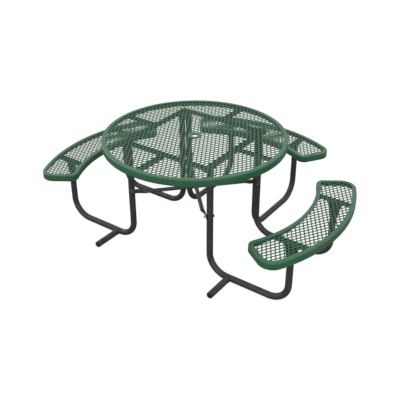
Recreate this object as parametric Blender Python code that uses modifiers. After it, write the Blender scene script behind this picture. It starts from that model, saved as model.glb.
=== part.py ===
"""Round picnic table with three curved benches, for Blender 4.5.

Run with: blender --background --python part.py
Metres, +Z up. The floor is z = 0 and the whole table's box is centred on the Z axis.
The open side for a wheelchair faces -Y, the benches stand at +X (right), +Y (back) and -X (left).
"""

import math

import bmesh
import bpy
from mathutils import Matrix, Vector

# Sheet, bar and tube
GAP = 0.0003
WALL = 0.0035
MESH_THICK = 0.0055
BAR_WIDTH = 0.050
BAR_THICK = 0.005
PLATE_THICK = 0.006
TUBE_R = 0.02065
TUBE_BEND_R = 0.127
BRACE_R = 0.0127

# Table top
TOP_R = 0.584
TOP_Z = 0.762
RIM_HEIGHT = 0.044
RIM_EDGE_R = 0.006
LIP_WIDTH = 0.028
HOLE_R = 0.0195
SLEEVE_R = 0.024
COLLAR_R = 0.0455
COLLAR_DROP = 0.0005
COLLAR_CHAMFER = 0.0015
SLEEVE_LENGTH = 0.007
SPOKE_INSET = 0.0015

# Benches: annular sectors around the table's axis
SEAT_IN_R = 0.781
SEAT_OUT_R = 1.028
SEAT_Z = 0.4545
SEAT_HALF_ANGLE = math.radians(33.4)
SEAT_OUT_CORNER_R = 0.085
SEAT_IN_CORNER_R = 0.050

# Legs: a U tube in a vertical plane, from under the table to under a bench
LEG_SIDE = 0.2767
LEG_TABLE = 0.3096
LEG_SEAT = 0.860
BRACE_BOLT = (LEG_TABLE + LEG_SIDE) / math.sqrt(2)
TABLE_PLATE_REACH = 0.3325
PAIR_PLATE_START = 0.2415
SEAT_PLATE_LENGTH = 0.090
# A web on each side of the tube, under a bench's leg plate, sloped down to the tube
WEB_THICK = 0.006
WEB_DROP = 0.110
WEB_EDGE = 0.010
WEB_FOOT = 0.005
WEB_INSET = 0.002
WEB_OVERLAP = 0.002
FOOT_X = 0.454
FOOT_END = 0.485
PLUG_LENGTH = 0.006
PLUG_INSET = 0.0010

# Braces: two tubes with flattened ends that cross under the table
LOWER_BRACE_Z = 0.391
BRACE_Z = {"upper": LOWER_BRACE_Z + 2 * BRACE_R + GAP, "lower": LOWER_BRACE_Z}
BRACE_TURN = {"upper": math.radians(-45), "lower": math.radians(-135)}
LEG_ON_SIDE = {"upper": 1, "lower": -1}
FLAT_HALF_WIDTH = 0.0165
FLAT_HALF_THICK = 0.0023
FLAT_END = 0.022
FLAT_START = 0.048
NECK_LENGTH = 0.034
NECK_HALF_WIDTH = 0.0152
NECK_HALF_THICK = 0.0080
# The flat end's rounded tip: distance from the tip, and share of the half width
TIP = ((0.0, 0.55), (0.004, 0.9), (0.010, 1.0))

# Fasteners
BOLT_R = 0.00476
BOLT_HOLE_R = 0.0055
HEX_R = 0.0082
HEAD_HEIGHT = 0.0065
NUT_HEIGHT = 0.0084
THREAD_END = 0.005
TABLE_BOLT = 0.3125
# How far a drill runs past the steel, and a shank into its head
DRILL_RUN = 0.01
SHANK_OVERLAP = 0.003

TOP_SEGMENTS = 96
TUBE_SEGMENTS = 16
# Every tube that lies on the floor stands on one of its facets, at this height below its centre line.
FLOOR_TO_TUBE = TUBE_R * math.cos(math.pi / TUBE_SEGMENTS)
AXIS_Y = (TOP_R - SEAT_OUT_R) / 2

# Heights of the layers under a top: mesh, bar, plate and tube end
TOP_MESH_Z = TOP_Z - WALL - GAP
SEAT_MESH_Z = SEAT_Z - WALL - GAP


def bar_top(mesh_z):
    return mesh_z - MESH_THICK - GAP


def plate_top(mesh_z):
    return bar_top(mesh_z) - BAR_THICK - GAP


def tube_top(mesh_z):
    return plate_top(mesh_z) - PLATE_THICK - GAP


# Where each bench stands, and on which side of it each of its legs runs
SEATS = {"right": 0, "back": 90, "left": 180}
LEGS = {
    "right_front": ("right", -1, "upper"),
    "right_back": ("right", 1, "lower"),
    "back_right": ("back", -1, "lower"),
    "back_left": ("back", 1, "upper"),
    "left_back": ("left", -1, "upper"),
    "left_front": ("left", 1, "lower"),
}


# ---- scene, materials and placing -------------------------------------------------------------

def clear_scene():
    for obj in list(bpy.data.objects):
        bpy.data.objects.remove(obj, do_unlink=True)


def linear(hex_colour):
    """One sRGB hex colour as linear RGBA."""
    channels = [int(hex_colour[i:i + 2], 16) / 255 for i in (1, 3, 5)]
    return [c / 12.92 if c <= 0.04045 else ((c + 0.055) / 1.055) ** 2.4 for c in channels] + [1]


def finish(name, hex_colour, roughness, metallic=0.0):
    material = bpy.data.materials.new(name)
    material.use_nodes = True
    shader = material.node_tree.nodes["Principled BSDF"]
    shader.inputs["Base Color"].default_value = linear(hex_colour)
    shader.inputs["Roughness"].default_value = roughness
    shader.inputs["Metallic"].default_value = metallic
    material.diffuse_color = linear(hex_colour)
    return material


def new_collection(name):
    collection = bpy.data.collections.new(name)
    bpy.context.scene.collection.children.link(collection)
    return collection


def place(obj, material, turn=0.0):
    """Turn a piece about the table's axis and put it in the table's collection."""
    obj.location = (0, AXIS_Y, 0)
    obj.rotation_euler = (0, 0, turn)
    obj.data.materials.clear()
    obj.data.materials.append(material)
    table.objects.link(obj)
    return obj


# ---- shapes -----------------------------------------------------------------------------------

def mesh_object(name, bm):
    bmesh.ops.recalc_face_normals(bm, faces=bm.faces)
    mesh = bpy.data.meshes.new(name)
    bm.to_mesh(mesh)
    bm.free()
    return bpy.data.objects.new(name, mesh)


def box(name, low, high):
    bm = bmesh.new()
    size = Vector(high) - Vector(low)
    middle = (Vector(high) + Vector(low)) / 2
    bmesh.ops.create_cube(bm, size=1, matrix=Matrix.Translation(middle) @ Matrix.Diagonal((*size, 1)))
    return mesh_object(name, bm)


def skin(name, rings, closed=False):
    """Extrude the first ring of points from station to station; cap the ends or join them."""
    bm = bmesh.new()
    first = [bm.verts.new(p) for p in rings[0]]
    start = [bm.edges.new((first[i - 1], first[i])) for i in range(len(first))]
    edges = start
    verts = first
    for ring in rings[1:]:
        step = bmesh.ops.extrude_edge_only(bm, edges=edges)["geom"]
        edges = [g for g in step if isinstance(g, bmesh.types.BMEdge) and len(g.link_faces) == 1]
        on = {v: v.link_edges for v in step if isinstance(v, bmesh.types.BMVert)}
        moved = [next(e.other_vert(v) for e in v.link_edges if e.other_vert(v) in on) for v in verts]
        for vert, point in zip(moved, ring):
            vert.co = point
        verts = moved
    if closed:
        bmesh.ops.bridge_loops(bm, edges=start + edges)
    else:
        bmesh.ops.contextual_create(bm, geom=start)
        bmesh.ops.contextual_create(bm, geom=edges)
    return mesh_object(name, bm)


def turned(name, profile, segments):
    """A profile of (radius, z) points turned about the table's axis with a Screw modifier."""
    bm = bmesh.new()
    points = [bm.verts.new((r, 0, z)) for r, z in profile]
    for i in range(len(points)):
        bm.edges.new((points[i - 1], points[i]))
    mesh = bpy.data.meshes.new(name)
    bm.to_mesh(mesh)
    bm.free()
    obj = bpy.data.objects.new(name, mesh)
    screw = obj.modifiers.new("Turn", "SCREW")
    screw.steps = segments
    screw.render_steps = segments
    screw.use_merge_vertices = True
    screw.merge_threshold = 1e-5
    return obj


def tube(name, points, radius, segments=TUBE_SEGMENTS):
    """A round bar along a poly line, made a mesh so that holes can be cut in it."""
    curve = bpy.data.curves.new(name, "CURVE")
    curve.dimensions = "3D"
    curve.bevel_depth = radius
    curve.bevel_resolution = (segments - 4) // 2
    curve.use_fill_caps = True
    spline = curve.splines.new("POLY")
    spline.points.add(len(points) - 1)
    for target, point in zip(spline.points, points):
        target.co = (*point, 1)
        target.tilt = math.pi / segments
    source = bpy.data.objects.new(name, curve)
    table.objects.link(source)
    bpy.context.view_layer.update()
    mesh = bpy.data.meshes.new_from_object(source)
    bpy.data.objects.remove(source, do_unlink=True)
    bm = bmesh.new()
    bm.from_mesh(mesh)
    bmesh.ops.remove_doubles(bm, verts=bm.verts, dist=1e-6)
    return mesh_object(name, bm)


def flat_outline(name, outline, top, thick):
    """A flat sheet of the outline's shape: a filled curve with an extrude of half its thickness."""
    curve = bpy.data.curves.new(name, "CURVE")
    curve.dimensions = "2D"
    curve.fill_mode = "BOTH"
    curve.extrude = thick / 2
    spline = curve.splines.new("POLY")
    spline.points.add(len(outline) - 1)
    for target, (x, y) in zip(spline.points, outline):
        target.co = (x, y, 0, 1)
    spline.use_cyclic_u = True
    obj = bpy.data.objects.new(name, curve)
    obj.delta_location = (0, 0, top - thick / 2)
    return obj


def rod(name, radius, start, end, segments):
    """A prism or cylinder along a straight line between two points."""
    axis = Vector(end) - Vector(start)
    middle = (Vector(start) + Vector(end)) / 2
    matrix = Matrix.Translation(middle) @ axis.to_track_quat("Z", "Y").to_matrix().to_4x4()
    bm = bmesh.new()
    bmesh.ops.create_cone(
        bm, cap_ends=True, segments=segments, radius1=radius, radius2=radius, depth=axis.length, matrix=matrix
    )
    return mesh_object(name, bm)


def combine(obj, other, operation):
    """Cut the other object out of a piece, or join it on, with an exact Boolean."""
    cutters.objects.link(other)
    other.location = obj.location
    other.display_type = "WIRE"
    other.hide_render = True
    modifier = obj.modifiers.new(operation.title(), "BOOLEAN")
    modifier.object = other
    modifier.operation = operation
    modifier.solver = "EXACT"
    return modifier


def bake(obj):
    """Replace a piece's mesh by the result of its modifiers, before it is turned to its place."""
    table.objects.link(obj)
    bpy.context.view_layer.update()
    depsgraph = bpy.context.evaluated_depsgraph_get()
    mesh = bpy.data.meshes.new_from_object(obj.evaluated_get(depsgraph))
    obj.modifiers.clear()
    obj.data = mesh
    table.objects.unlink(obj)
    return obj


def arc(centre, radius, start, end, steps):
    """Points on an arc in a plane, both ends included."""
    angles = [start + (end - start) * i / steps for i in range(steps + 1)]
    return [(centre[0] + radius * math.cos(a), centre[1] + radius * math.sin(a)) for a in angles]


def rim_section():
    """The rolled angle's section as (inset from the outer face, depth below the top)."""
    corner = arc((RIM_EDGE_R, RIM_EDGE_R), RIM_EDGE_R, -math.pi / 2, -math.pi, 4)
    inner = [(WALL, RIM_HEIGHT), (WALL, WALL), (LIP_WIDTH, WALL)]
    return [(LIP_WIDTH, 0)] + corner + [(0, RIM_HEIGHT)] + inner


def seat_outline(inset):
    """A bench's outline, an annular sector with round corners, drawn in from its outer face."""
    out_centre_r = SEAT_OUT_R - SEAT_OUT_CORNER_R
    in_centre_r = SEAT_IN_R + SEAT_IN_CORNER_R
    out_angle = SEAT_HALF_ANGLE - math.asin(SEAT_OUT_CORNER_R / out_centre_r)
    in_angle = SEAT_HALF_ANGLE - math.asin(SEAT_IN_CORNER_R / in_centre_r)
    out_centre = (out_centre_r * math.cos(out_angle), out_centre_r * math.sin(out_angle))
    in_centre = (in_centre_r * math.cos(in_angle), in_centre_r * math.sin(in_angle))
    end_normal = SEAT_HALF_ANGLE + math.pi / 2
    half = arc((0, 0), SEAT_OUT_R - inset, 0, out_angle, 12)
    half += arc(out_centre, SEAT_OUT_CORNER_R - inset, out_angle, end_normal, 8)[1:]
    half += arc(in_centre, SEAT_IN_CORNER_R - inset, end_normal, in_angle + math.pi, 6)
    half += arc((0, 0), SEAT_IN_R + inset, in_angle, 0, 10)[1:]
    return half + [(x, -y) for x, y in reversed(half[1:-1])]


# ---- table top --------------------------------------------------------------------------------

def make_top(coat):
    section = [(TOP_R - inset, TOP_Z - depth) for inset, depth in rim_section()]
    place(turned("top_rim", section, TOP_SEGMENTS), coat)

    low = TOP_MESH_Z - MESH_THICK
    mesh_in = SLEEVE_R + GAP
    mesh_out = TOP_R - WALL - 2 * GAP
    sheet = [(mesh_out, TOP_MESH_Z), (mesh_out, low), (mesh_in, low), (mesh_in, TOP_MESH_Z)]
    place(turned("top_mesh", sheet, TOP_SEGMENTS), coat)

    flange_low = TOP_MESH_Z + GAP
    sleeve_low = flange_low - SLEEVE_LENGTH
    collar_top = TOP_Z - COLLAR_DROP
    collar = [
        (COLLAR_R - COLLAR_CHAMFER, collar_top),
        (COLLAR_R, collar_top - COLLAR_CHAMFER),
        (COLLAR_R, flange_low),
        (SLEEVE_R, flange_low),
        (SLEEVE_R, sleeve_low),
        (HOLE_R, sleeve_low),
        (HOLE_R, collar_top),
    ]
    place(turned("umbrella_collar", collar, 48), coat)


def make_underframe(coat):
    """A square of flat bars under the mesh, and four short bars from it out to the rim."""
    high = bar_top(TOP_MESH_Z)
    low = high - BAR_THICK
    half = BAR_WIDTH / 2
    outer = LEG_TABLE + half
    inner = LEG_TABLE - half
    spoke_end = TOP_R - WALL - SPOKE_INSET
    for side, turn in (("right", 0), ("back", 90), ("left", 180), ("front", 270)):
        # The right and left bars own the corners, the front and back bars fit between them.
        reach = outer if side in ("right", "left") else inner - GAP
        bar = box(f"frame_bar_{side}", (inner, -reach, low), (outer, reach, high))
        place(bar, coat, math.radians(turn))
        spoke = box(f"frame_spoke_{side}", (outer + GAP, -half, low), (spoke_end, half, high))
        place(spoke, coat, math.radians(turn))


# ---- benches ----------------------------------------------------------------------------------

def make_seat(side, turn, coat):
    rings = []
    for inset, depth in rim_section():
        rings.append([(x, y, SEAT_Z - depth) for x, y in seat_outline(inset)])
    place(skin(f"seat_{side}_rim", rings, closed=True), coat, turn)

    sheet = seat_outline(WALL + GAP)
    place(flat_outline(f"seat_{side}_mesh", sheet, SEAT_MESH_Z, MESH_THICK), coat, turn)

    # Each bar ends where its nearer corner meets the rim's wall.
    high = bar_top(SEAT_MESH_Z)
    near = LEG_SIDE - BAR_WIDTH / 2
    far = LEG_SIDE + BAR_WIDTH / 2
    start = math.sqrt((SEAT_IN_R + WALL + 2 * GAP) ** 2 - near ** 2)
    end = math.sqrt((SEAT_OUT_R - WALL - 2 * GAP) ** 2 - far ** 2)
    for number, sign in ((1, -1), (2, 1)):
        low_y, high_y = sorted((sign * near, sign * far))
        bar = box(f"seat_{side}_bar_{number}", (start, low_y, high - BAR_THICK), (end, high_y, high))
        place(bar, coat, turn)


# ---- legs and feet ----------------------------------------------------------------------------

def leg_path(side_sign):
    """The U tube's centre line: down from the table, along the floor, up to the bench."""
    y = side_sign * LEG_SIDE
    bend_z = FLOOR_TO_TUBE + TUBE_BEND_R
    path = [(LEG_TABLE, tube_top(TOP_MESH_Z))]
    path += arc((LEG_TABLE + TUBE_BEND_R, bend_z), TUBE_BEND_R, math.pi, 1.5 * math.pi, 6)
    path += arc((LEG_SEAT - TUBE_BEND_R, bend_z), TUBE_BEND_R, -0.5 * math.pi, 0, 6)
    path += [(LEG_SEAT, tube_top(SEAT_MESH_Z))]
    return [(x, y, z) for x, z in path]


def make_leg(name, paint):
    seat, sign, brace = LEGS[name]
    leg = tube(f"leg_{name}", leg_path(sign), TUBE_R)
    reach = math.sqrt(2) * TUBE_R
    z = BRACE_Z[brace]
    start = (LEG_TABLE + reach, sign * (LEG_SIDE - reach), z)
    end = (LEG_TABLE - reach, sign * (LEG_SIDE + reach), z)
    combine(leg, rod(f"hole_{name}", BOLT_HOLE_R, start, end, 12), "DIFFERENCE")
    place(bake(leg), paint, math.radians(SEATS[seat]))


def drilled_plate(name, low, high, hole):
    """A flat plate with one bolt hole at a point in the plan."""
    plate = box(name, low, high)
    drill = rod(f"hole_{name}", BOLT_HOLE_R, (*hole, low[2] - DRILL_RUN), (*hole, high[2] + DRILL_RUN), 12)
    combine(plate, drill, "DIFFERENCE")
    return bake(plate)


def drill_frame_bars():
    """Bolt holes in the underframe's right and left bars, at its four corners."""
    for side in ("right", "left"):
        bar = table.objects[f"frame_bar_{side}"]
        turn = bar.rotation_euler.z
        material = bar.data.materials[0]
        bar.rotation_euler.z = 0
        bar.location = (0, 0, 0)
        table.objects.unlink(bar)
        high = bar_top(TOP_MESH_Z)
        for sign in (-1, 1):
            point = (TABLE_BOLT, sign * TABLE_BOLT)
            low_end = (*point, high - BAR_THICK - DRILL_RUN)
            high_end = (*point, high + DRILL_RUN)
            drill = rod(f"hole_{side}_{sign}", BOLT_HOLE_R, low_end, high_end, 12)
            combine(bar, drill, "DIFFERENCE")
        place(bake(bar), material, turn)


def make_leg_plates(paint):
    """Plates welded on the tube ends: one for each single leg, one for each pair at a corner."""
    high = plate_top(TOP_MESH_Z)
    low = high - PLATE_THICK
    half = BAR_WIDTH / 2
    near = LEG_SIDE - half
    singles = {"front_right": (0, -1), "front_left": (180, 1)}
    for corner, (turn, sign) in singles.items():
        low_y, high_y = sorted((sign * near, sign * TABLE_PLATE_REACH))
        corner_low = (LEG_TABLE - half, low_y, low)
        corner_high = (LEG_TABLE + half, high_y, high)
        hole = (TABLE_BOLT, sign * TABLE_BOLT)
        plate = drilled_plate(f"leg_plate_{corner}", corner_low, corner_high, hole)
        place(plate, paint, math.radians(turn))
    for corner, turn in (("back_right", 0), ("back_left", 90)):
        corner_low = (PAIR_PLATE_START, PAIR_PLATE_START, low)
        corner_high = (TABLE_PLATE_REACH, TABLE_PLATE_REACH, high)
        plate = drilled_plate(f"leg_plate_{corner}", corner_low, corner_high, (TABLE_BOLT, TABLE_BOLT))
        place(plate, paint, math.radians(turn))


def web(name, side, y, high):
    """A sloped web beside the tube, in the plane of the leg: side is 1 outwards or -1 inwards."""
    near = LEG_SEAT + side * (TUBE_R + GAP)
    far = LEG_SEAT + side * (SEAT_PLATE_LENGTH / 2 - WEB_INSET)
    outline = [
        (near, high + WEB_OVERLAP),
        (far, high + WEB_OVERLAP),
        (far, high - WEB_EDGE),
        (near + side * WEB_FOOT, high - WEB_DROP),
        (near, high - WEB_DROP),
    ]
    faces = [[(x, y + lean * WEB_THICK / 2, z) for x, z in outline] for lean in (-1, 1)]
    return skin(name, faces)


def make_seat_plates(paint):
    high = plate_top(SEAT_MESH_Z)
    half = BAR_WIDTH / 2
    reach = SEAT_PLATE_LENGTH / 2
    for name, (seat, sign, _) in LEGS.items():
        y = sign * LEG_SIDE
        low_corner = (LEG_SEAT - reach, y - half, high - PLATE_THICK)
        high_corner = (LEG_SEAT + reach, y + half, high)
        plate = box(f"seat_plate_{name}", low_corner, high_corner)
        for side in (-1, 1):
            combine(plate, web(f"web_{name}_{side}", side, y, high - PLATE_THICK), "UNION")
        place(bake(plate), paint, math.radians(SEATS[seat]))


def make_feet(paint, plastic):
    """Short tubes welded to the side of the two front legs, each with an end plug."""
    start = LEG_SIDE + TUBE_R + GAP
    for side, x in (("right", FOOT_X), ("left", -FOOT_X)):
        z = FLOOR_TO_TUBE
        foot = tube(f"foot_{side}", [(x, -start, z), (x, -FOOT_END, z)], TUBE_R)
        place(foot, paint)
        y = -FOOT_END - GAP
        plug_end = (x, y - PLUG_LENGTH, z)
        plug = rod(f"foot_plug_{side}", TUBE_R - PLUG_INSET, (x, y, z), plug_end, TUBE_SEGMENTS)
        place(plug, plastic)


# ---- braces and bolts -------------------------------------------------------------------------

def brace_half(kind, end):
    """Stations from an end's tip to the tube: (along, aside, height, half width, half thickness)."""
    z = BRACE_Z[kind]
    aside = -end * LEG_ON_SIDE[kind] * (BRACE_R - FLAT_HALF_THICK)
    tip = BRACE_BOLT + FLAT_END
    neck = BRACE_BOLT - FLAT_START
    stations = [
        *[(tip - back, 0, z, FLAT_HALF_WIDTH * share, FLAT_HALF_THICK) for back, share in TIP],
        (neck, 0, z, FLAT_HALF_WIDTH, FLAT_HALF_THICK),
        (neck - NECK_LENGTH / 2, aside / 2, z, NECK_HALF_WIDTH, NECK_HALF_THICK),
        (neck - NECK_LENGTH, aside, z, BRACE_R, BRACE_R),
    ]
    return [(end * along, *rest) for along, *rest in stations]


def brace_ring(along, aside, height, half_width, half_thick):
    angles = [2 * math.pi * i / TUBE_SEGMENTS for i in range(TUBE_SEGMENTS)]
    return [(along, aside + half_thick * math.cos(a), height + half_width * math.sin(a)) for a in angles]


def make_brace(kind, paint):
    stations = brace_half(kind, 1) + brace_half(kind, -1)[::-1]
    brace = skin(f"brace_{kind}", [brace_ring(*station) for station in stations])
    z = BRACE_Z[kind]
    run = BRACE_R + DRILL_RUN
    for x in (BRACE_BOLT, -BRACE_BOLT):
        combine(brace, rod(f"hole_{kind}_{x}", BOLT_HOLE_R, (x, -run, z), (x, run, z), 12), "DIFFERENCE")
    hole = rod(f"hole_{kind}_centre", BOLT_HOLE_R, (0, 0, z - run), (0, 0, z + run), 12)
    combine(brace, hole, "DIFFERENCE")
    place(bake(brace), paint, BRACE_TURN[kind])


def make_bolt(name, head_face, tip, zinc, turn=0.0):
    """A hexagon bolt whose head's under side is at head_face, with its shank out to tip."""
    down = (Vector(tip) - Vector(head_face)).normalized()
    under = Vector(head_face)
    bolt = rod(name, HEX_R, under - down * HEAD_HEIGHT, under, 6)
    combine(bolt, rod(f"shank_{name}", BOLT_R, under - down * SHANK_OVERLAP, tip, 12), "UNION")
    place(bake(bolt), zinc, turn)


def make_nut(name, inner_face, direction, zinc, turn=0.0):
    start = Vector(inner_face)
    step = Vector(direction)
    nut = rod(name, HEX_R, start, start + step * NUT_HEIGHT, 6)
    bore_end = start + step * (NUT_HEIGHT + DRILL_RUN)
    bore = rod(f"bore_{name}", BOLT_R + GAP, start - step * DRILL_RUN, bore_end, 12)
    combine(nut, bore, "DIFFERENCE")
    place(bake(nut), zinc, turn)


def make_brace_bolts(kind, zinc):
    """A bolt across each end of a brace: through one leg in front, through a pair at the back."""
    leg_y = (LEG_TABLE - LEG_SIDE) / math.sqrt(2)
    leg_face = leg_y + TUBE_R + GAP
    side = LEG_ON_SIDE[kind]
    z = BRACE_Z[kind]
    turn = BRACE_TURN[kind]
    nut_faces = {"front": (BRACE_BOLT, FLAT_HALF_THICK + GAP), "back": (-BRACE_BOLT, leg_face)}
    for place_name, (x, nut_face) in nut_faces.items():
        nut_end = nut_face + NUT_HEIGHT + THREAD_END
        bolt_name = f"brace_bolt_{kind}_{place_name}"
        make_bolt(bolt_name, (x, side * leg_face, z), (x, -side * nut_end, z), zinc, turn)
        nut_name = f"brace_nut_{kind}_{place_name}"
        make_nut(nut_name, (x, -side * nut_face, z), (0, -side, 0), zinc, turn)


def make_centre_bolt(zinc):
    """The bolt down through both braces where they cross."""
    high = BRACE_Z["upper"] + BRACE_R + GAP
    low = BRACE_Z["lower"] - BRACE_R - GAP
    make_bolt("brace_bolt_centre", (0, 0, high), (0, 0, low - NUT_HEIGHT - THREAD_END), zinc)
    make_nut("brace_nut_centre", (0, 0, low), (0, 0, -1), zinc)


def make_table_bolts(zinc):
    """One bolt up through each leg plate and the underframe's corner, below the mesh."""
    face = plate_top(TOP_MESH_Z) - PLATE_THICK - GAP
    tip = bar_top(TOP_MESH_Z) - GAP
    corners = {"front_right": -45, "back_right": 45, "back_left": 135, "front_left": 225}
    reach = TABLE_BOLT * math.sqrt(2)
    for corner, degrees in corners.items():
        turn = math.radians(degrees)
        make_bolt(f"table_bolt_{corner}", (reach, 0, face), (reach, 0, tip), zinc, turn)


# ---- build ------------------------------------------------------------------------------------

clear_scene()
table = new_collection("picnic_table")
cutters = new_collection("cutters")

top_coat = finish("top_coating", "#2C6242", 0.35)
seat_coat = finish("seat_coating", "#2C6242", 0.35)
leg_paint = finish("leg_paint", "#2B2B2C", 0.45)
brace_paint = finish("brace_paint", "#2B2B2C", 0.45)
zinc_plate = finish("bolt_zinc", "#A9ABAA", 0.35, metallic=1.0)
plug_plastic = finish("plug_plastic", "#161616", 0.55)

make_top(top_coat)
make_underframe(top_coat)
drill_frame_bars()
for seat_name, degrees in SEATS.items():
    make_seat(seat_name, math.radians(degrees), seat_coat)
for leg_name in LEGS:
    make_leg(leg_name, leg_paint)
make_leg_plates(leg_paint)
make_seat_plates(leg_paint)
make_feet(leg_paint, plug_plastic)
for brace_kind in ("upper", "lower"):
    make_brace(brace_kind, brace_paint)
    make_brace_bolts(brace_kind, zinc_plate)
make_centre_bolt(zinc_plate)
make_table_bolts(zinc_plate)
cutters.hide_render = True
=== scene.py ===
import math

import bmesh
import bpy
import numpy as np
from mathutils import Matrix, Vector


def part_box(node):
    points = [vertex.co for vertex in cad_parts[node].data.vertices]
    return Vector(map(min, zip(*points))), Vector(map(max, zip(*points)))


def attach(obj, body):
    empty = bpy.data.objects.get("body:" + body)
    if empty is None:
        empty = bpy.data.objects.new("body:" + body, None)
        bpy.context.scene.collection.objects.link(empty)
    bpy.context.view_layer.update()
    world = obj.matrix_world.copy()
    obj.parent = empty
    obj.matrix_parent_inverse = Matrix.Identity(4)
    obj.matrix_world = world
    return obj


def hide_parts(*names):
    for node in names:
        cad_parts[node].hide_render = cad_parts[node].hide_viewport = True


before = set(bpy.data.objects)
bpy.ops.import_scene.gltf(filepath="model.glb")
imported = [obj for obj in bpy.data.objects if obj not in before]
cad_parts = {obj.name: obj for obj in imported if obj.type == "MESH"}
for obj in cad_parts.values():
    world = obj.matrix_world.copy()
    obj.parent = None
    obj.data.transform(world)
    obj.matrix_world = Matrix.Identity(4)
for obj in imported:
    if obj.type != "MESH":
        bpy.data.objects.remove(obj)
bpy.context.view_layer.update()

# Round picnic table of dipped steel. Every piece is modelled about the table's own axis, in metres, and then
# moved to its place. The top is flat at TOP_Z, the benches at SEAT_Z, the floor is z = 0.
AXIS = Vector((0, -0.222, 0))
TOP_R = 0.584
TOP_Z = 0.762
SEAT_Z = 0.4545
SEAT_IN_R = 0.781
SEAT_OUT_R = 1.028
SEAT_HALF_ANGLE = math.radians(33.4)
SEAT_OUT_CORNER = 0.085
SEAT_IN_CORNER = 0.050

# Where the bench's corner arcs are centred, as radii and angles about the table's axis
OUT_CENTRE_R = SEAT_OUT_R - SEAT_OUT_CORNER
IN_CENTRE_R = SEAT_IN_R + SEAT_IN_CORNER
OUT_ANGLE = SEAT_HALF_ANGLE - math.asin(SEAT_OUT_CORNER / OUT_CENTRE_R)
IN_ANGLE = SEAT_HALF_ANGLE - math.asin(SEAT_IN_CORNER / IN_CENTRE_R)

# Rolled edge angle
LIP = 0.028
RIM_HEIGHT = 0.044
WALL = 0.0035
RIM_EDGE_R = 0.006
COAT_EDGE_R = 0.0016
SHEET_INSET = WALL + 0.0006

# Expanded steel: diamond pitches, strand and thickness, all over the dip coat
DIAMOND_SHORT = 0.0283
DIAMOND_LONG = 0.0463
STRAND = 0.0064
SHEET_THICK = 0.0054
# The coated strand's section: its flat, shoulder and rounded crossings as parts of the strand's width,
# and the shoulder's drop as a part of half the thickness
STRAND_FLAT = 0.22
STRAND_SHOULDER = 0.28
STRAND_KNUCKLE = 0.42
SHOULDER_DROP = 0.55

# Umbrella ring, and the hole in the sheet round its sleeve
HOLE_R = 0.0244
RING_BORE_R = 0.0195
RING_SLEEVE_R = 0.0238
RING_COLLAR_R = 0.0453

# Tube
TUBE_R = 0.02065
BEND_R = 0.127
LEG_TABLE = 0.3096
LEG_SEAT = 0.860
LEG_SIDE = 0.2767
BRACE_R = 0.0127
BRACE_BOLT = (LEG_TABLE + LEG_SIDE) / math.sqrt(2)
BRACE_FLAT_WIDE = 0.0165
BRACE_FLAT_THICK = 0.0023

# Plates, bars and welds
PLATE_THICK = 0.006
PLATE_CORNER = 0.004
PLATE_EASE = 0.0008
BAR_CORNER = 0.0015
BAR_EASE = 0.0012
WEB_THICK = 0.006
WEB_EASE = 0.0007
WEB_EDGE = 0.010
WEB_FOOT = 0.0055
WELD = 0.0030
WELD_GAP = 0.0003
RIPPLE_PITCH = 0.004

# Fasteners, 3/8 inch
BOLT_R = 0.00476
ACROSS_FLATS = 0.01425
HEAD_HEIGHT = 0.0063
NUT_HEIGHT = 0.0082
THREAD_PITCH = 0.0015
THREAD_SPARE = 0.006
BOLT_TAIL = 0.0045
TABLE_BOLT = 0.3125
BENCH_BOLTS = ((0.034, 0.0145), (-0.034, -0.0145))

# How near two places count as one, when merging and when comparing heights
NEAR = 1e-5
SAME = 1e-6

# Each leg as a turn of the right bench's front leg, in degrees, and whether it is mirrored first;
# each bench as a turn of the right bench
LEGS = {
    "right_front": (0, False), "right_back": (0, True),
    "back_right": (90, False), "back_left": (90, True),
    "left_back": (180, False), "left_front": (180, True),
}
BENCHES = {"right": 0, "back": 90, "left": 180}


# ---- working by hand in edit mode --------------------------------------------------------------

def open_piece(piece, mode="VERT"):
    """Open a piece in edit mode with nothing selected."""
    bpy.ops.object.select_all(action="DESELECT")
    bpy.context.view_layer.objects.active = piece
    piece.select_set(True)
    bpy.ops.object.mode_set(mode="EDIT")
    bpy.ops.mesh.select_mode(type=mode)
    bpy.ops.mesh.select_all(action="DESELECT")


def start(name, primitive, **settings):
    """Add a primitive at its size and place, and open it with all of it selected."""
    bpy.ops.object.select_all(action="DESELECT")
    primitive(**settings)
    piece = bpy.context.object
    piece.name = name
    piece.data.name = name
    bpy.ops.object.transform_apply(location=True, rotation=True, scale=True)
    bpy.ops.object.mode_set(mode="EDIT")
    bpy.ops.mesh.select_mode(type="VERT")
    bpy.ops.mesh.select_all(action="SELECT")
    return piece


def close():
    bpy.ops.object.mode_set(mode="OBJECT")


def pick(piece, kind, test):
    """Select the verts, edges or faces whose middle passes the test."""
    form = bmesh.from_edit_mesh(piece.data)
    bpy.ops.mesh.select_all(action="DESELECT")
    for part in getattr(form, kind):
        corners = [part] if kind == "verts" else part.verts
        middle = sum((v.co for v in corners), Vector()) / len(corners)
        part.select_set(bool(test(middle)))
    form.select_flush_mode()
    bmesh.update_edit_mesh(piece.data)


def draw_out(x, y, z):
    """Extrude what is selected along a vector."""
    bpy.ops.mesh.extrude_region_move(TRANSFORM_OT_translate={"value": (x, y, z)})


def bend(centre, axis, degrees, steps):
    """Carry the selected ring round a bend. Spin counts its angle the other way about the axis."""
    bpy.ops.mesh.spin(steps=steps, angle=-math.radians(degrees), center=centre, axis=axis)


def weld_seams():
    """Merge doubles, cap open ends and turn the faces outwards."""
    bpy.ops.mesh.select_all(action="SELECT")
    bpy.ops.mesh.remove_doubles(threshold=NEAR)
    bpy.ops.mesh.fill_holes(sides=0)
    bpy.ops.mesh.normals_make_consistent(inside=False)


def smooth(piece, degrees):
    """Close a piece, and shade it smooth but for edges sharper than an angle."""
    close()
    bpy.ops.object.shade_smooth_by_angle(angle=math.radians(degrees))
    return piece


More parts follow.
